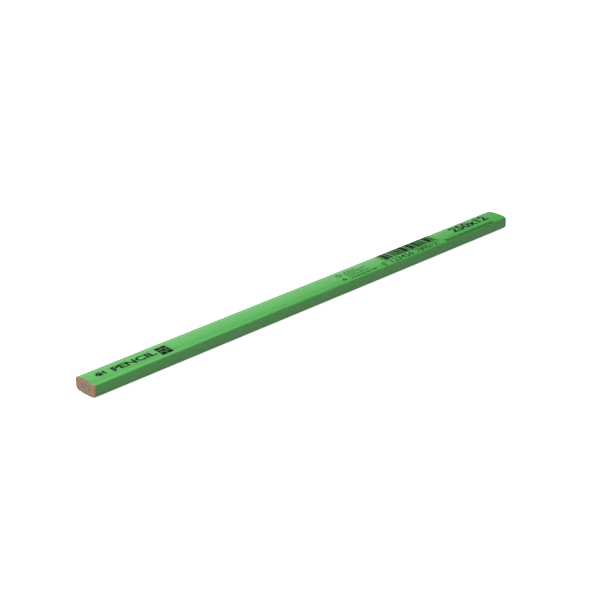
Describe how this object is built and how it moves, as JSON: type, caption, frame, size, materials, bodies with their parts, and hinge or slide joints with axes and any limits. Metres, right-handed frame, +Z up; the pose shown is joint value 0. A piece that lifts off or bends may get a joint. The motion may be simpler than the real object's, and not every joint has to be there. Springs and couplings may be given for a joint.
{
  "type": "flat graphite pencil",
  "caption": "Flat wood-cased graphite pencil for masons: crowned green-lacquered casing with square-cut, unsharpened ends and a flat lead.",
  "frame": {"origin": "on the lower wide face, under the middle of the pencil", "axes": "+X along the pencil away from the end where the imprint starts, +Y across its width, +Z up out of the upper wide face"},
  "size_m": [0.25, 0.012, 0.0065],
  "materials": {
    "wood": "bare light wood, sawn across the grain at the ends",
    "graphite": "fired graphite and clay, dull metallic sheen",
    "glue": "dried wood glue, satin",
    "primer": "pale filler coat, matt",
    "green_lacquer": "bright green pencil lacquer, satin gloss",
    "black_foil": "black hot-stamped foil, satin"
  },
  "bodies": {
    "root": {"upper_slat": "wood", "lower_slat": "wood", "graphite_lead": "graphite", "glue_film": "glue", "primer_coat": "primer", "green_lacquer": "green_lacquer"}
  },
  "joints": []
}
